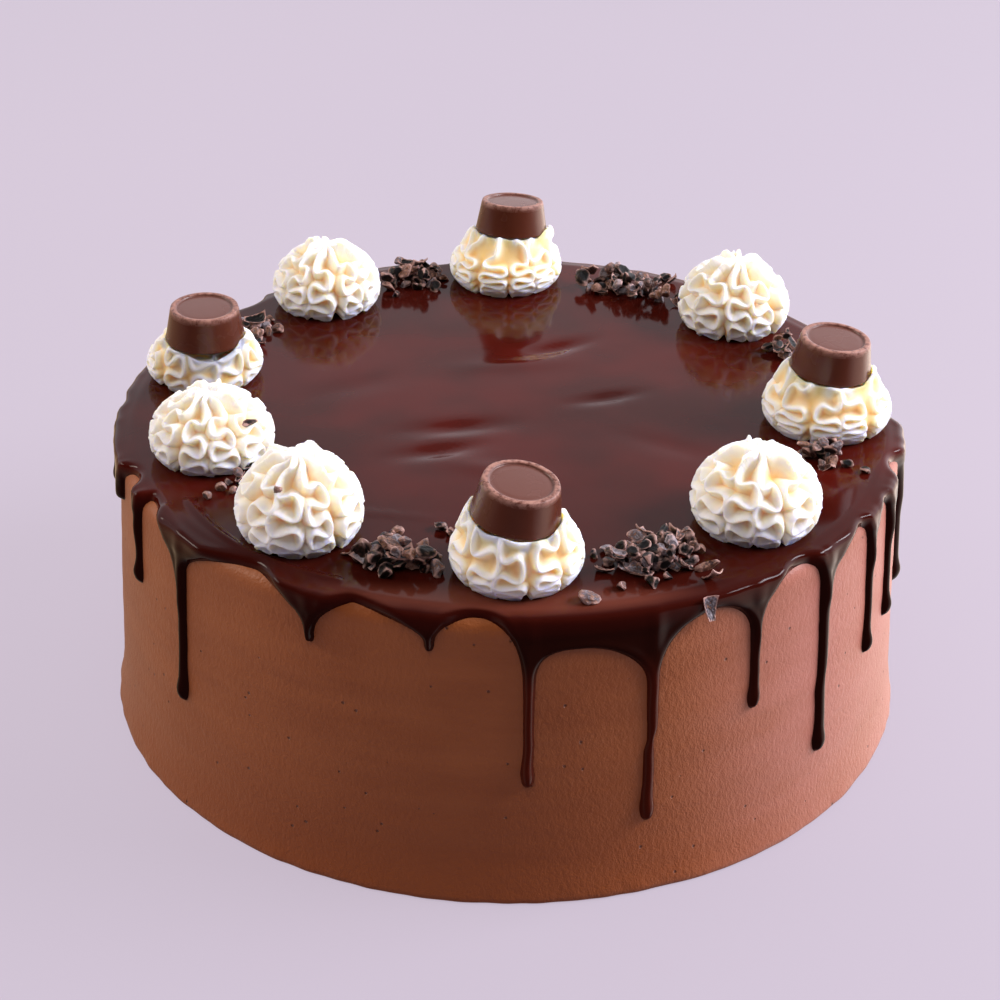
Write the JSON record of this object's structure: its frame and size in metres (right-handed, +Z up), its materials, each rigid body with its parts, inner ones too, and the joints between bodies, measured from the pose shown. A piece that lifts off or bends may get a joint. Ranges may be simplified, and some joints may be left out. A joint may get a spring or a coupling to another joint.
{
  "type": "chocolate truffle cake",
  "caption": "Round chocolate cake with a poured glaze that drips down the side, piped cream rosettes, chocolate candies and cacao nibs, whole and free-standing.",
  "frame": {"origin": "centre of the flat base, on the surface that the cake stands on", "axes": "+Z up, the front of the cake faces -Y"},
  "size_m": [0.2084, 0.2084, 0.1031],
  "materials": {
    "buttercream": "satin",
    "glaze": "gloss",
    "cream": "satin",
    "candy": "satin",
    "nib": "satin"
  },
  "bodies": {
    "root": {"cake": "buttercream", "glaze": "glaze", "rosette_front": "cream", "rosette_front_right": "cream", "rosette_right": "cream", "rosette_back_right": "cream", "rosette_back": "cream", "rosette_back_left": "cream", "rosette_left": "cream", "rosette_left_front": "cream", "rosette_front_left": "cream", "candy_front": "candy", "candy_right": "candy", "candy_back": "candy", "candy_left": "candy"}
  },
  "joints": []
}
